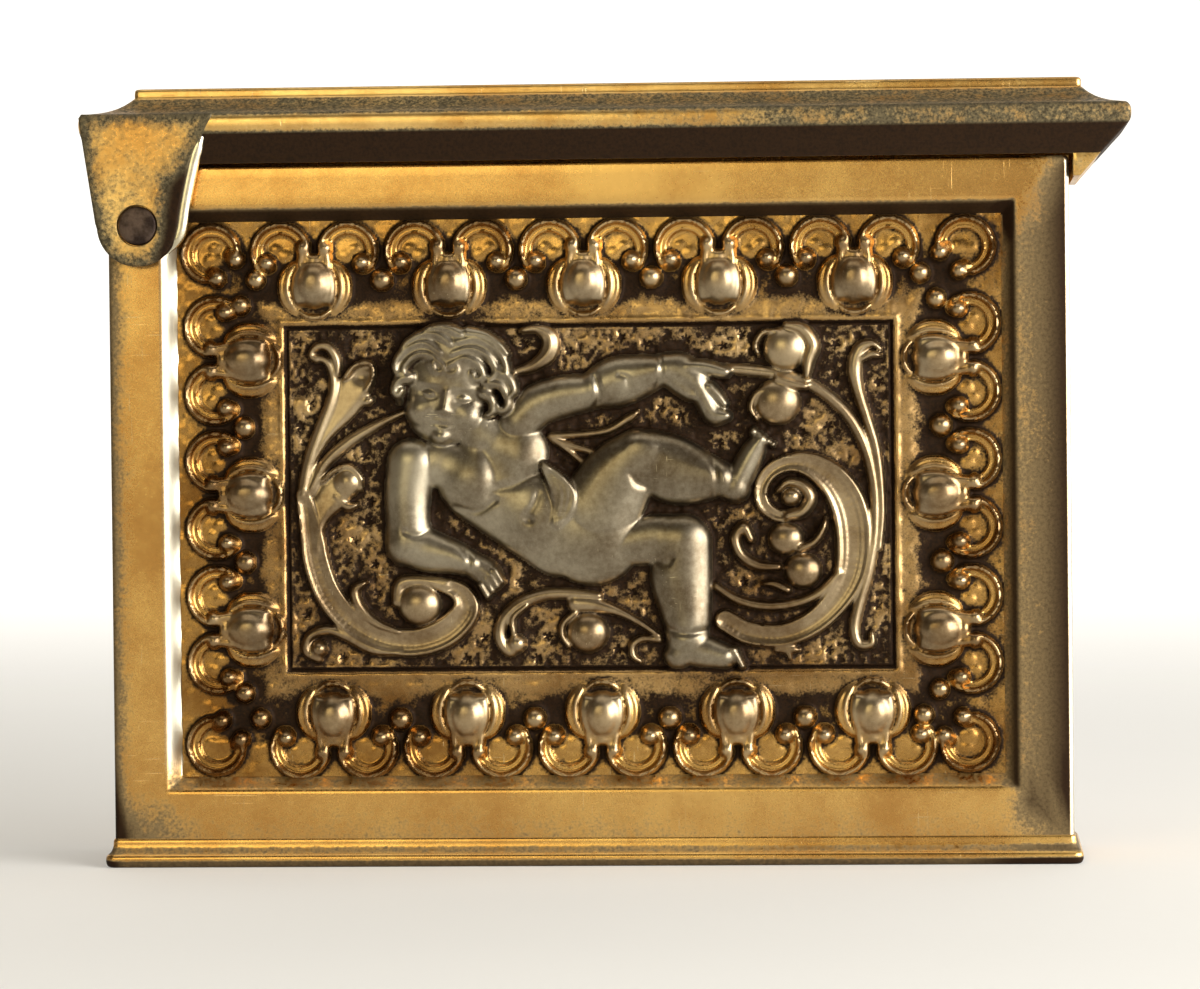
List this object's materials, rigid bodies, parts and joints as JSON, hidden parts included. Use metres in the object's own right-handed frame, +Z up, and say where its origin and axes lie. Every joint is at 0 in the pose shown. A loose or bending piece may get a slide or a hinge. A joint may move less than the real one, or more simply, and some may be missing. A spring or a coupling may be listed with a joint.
{
  "type": "needle case",
  "caption": "Flat embossed brass needle case on a moulded foot, with a swinging lid that raises a stepped row of packet holders.",
  "frame": {"origin": "centre of the foot's underside, midway between the case's ends and faces", "axes": "+X along the case towards the lid's thumb end, +Y from the embossed face to the plain back, +Z up"},
  "size_m": [0.0698, 0.0134, 0.0521],
  "materials": {
    "gilt_brass": "warm rolled brass, lightly brushed, with fine scratches and dark specks",
    "embossed_brass": "embossed brass, silvery on the high points and dark in the recesses",
    "lid_brass": "brown-black patina in the hollows, worn to bright gold on the moulding",
    "holder_brass": "thin satin brass sheet",
    "inner_brass": "dull unpolished brass",
    "steel_pin": "dark oxidised steel"
  },
  "bodies": {
    "case": {"base_plate": "gilt_brass", "side_band": "gilt_brass", "front_frame": "gilt_brass", "back_frame": "gilt_brass", "front_relief": "embossed_brass", "back_panel": "embossed_brass", "front_liner": "inner_brass", "back_liner": "inner_brass", "divider_1": "inner_brass", "divider_2": "inner_brass", "divider_3": "inner_brass", "divider_4": "inner_brass", "front_washer": "gilt_brass", "back_washer": "gilt_brass", "lifter_pivot_pin": "steel_pin", "rod_guides": "inner_brass"},
    "lid": {"lid_shell": "lid_brass", "pivot_rivet": "steel_pin", "lid_crank": "inner_brass", "crank_pin": "steel_pin"},
    "lift_rod": {"lift_rod": "inner_brass", "lift_rod_pin": "steel_pin"},
    "lifter_bar": {"lifter_bar": "inner_brass"},
    "holder_1": {"packet_holder_1": "holder_brass"},
    "holder_2": {"packet_holder_2": "holder_brass"},
    "holder_3": {"packet_holder_3": "holder_brass"},
    "holder_4": {"packet_holder_4": "holder_brass"}
  },
  "joints": [
    {"name": "lid_hinge", "type": "hinge", "parent": "case", "child": "lid", "pos_m": [-0.0298, 0, 0.0428], "axis": [0, -1, 0], "range_deg": [0, 100]},
    {"name": "lift_rod_slide", "type": "slide", "parent": "case", "child": "lift_rod", "axis": [0, 0, 1], "range_m": [0, 0.0028]},
    {"name": "lifter_bar_hinge", "type": "hinge", "parent": "case", "child": "lifter_bar", "pos_m": [-0.0303, 0, 0.0034], "axis": [0, -1, 0], "range_deg": [0, 18]},
    {"name": "holder_1_slide", "type": "slide", "parent": "case", "child": "holder_1", "axis": [0, 0, 1], "range_m": [0, 0.00383]},
    {"name": "holder_2_slide", "type": "slide", "parent": "case", "child": "holder_2", "axis": [0, 0, 1], "range_m": [0, 0.00852]},
    {"name": "holder_3_slide", "type": "slide", "parent": "case", "child": "holder_3", "axis": [0, 0, 1], "range_m": [0, 0.01321]},
    {"name": "holder_4_slide", "type": "slide", "parent": "case", "child": "holder_4", "axis": [0, 0, 1], "range_m": [0, 0.0179]}
  ],
  "couplings": [
    {"joint": "lift_rod_slide", "follows": "lid_hinge", "m_per_rad": 0.0015976},
    {"joint": "lifter_bar_hinge", "follows": "lid_hinge", "ratio": 0.18},
    {"joint": "holder_1_slide", "follows": "lid_hinge", "m_per_rad": 0.0021917},
    {"joint": "holder_2_slide", "follows": "lid_hinge", "m_per_rad": 0.0048778},
    {"joint": "holder_3_slide", "follows": "lid_hinge", "m_per_rad": 0.0075639},
    {"joint": "holder_4_slide", "follows": "lid_hinge", "m_per_rad": 0.01025}
  ]
}
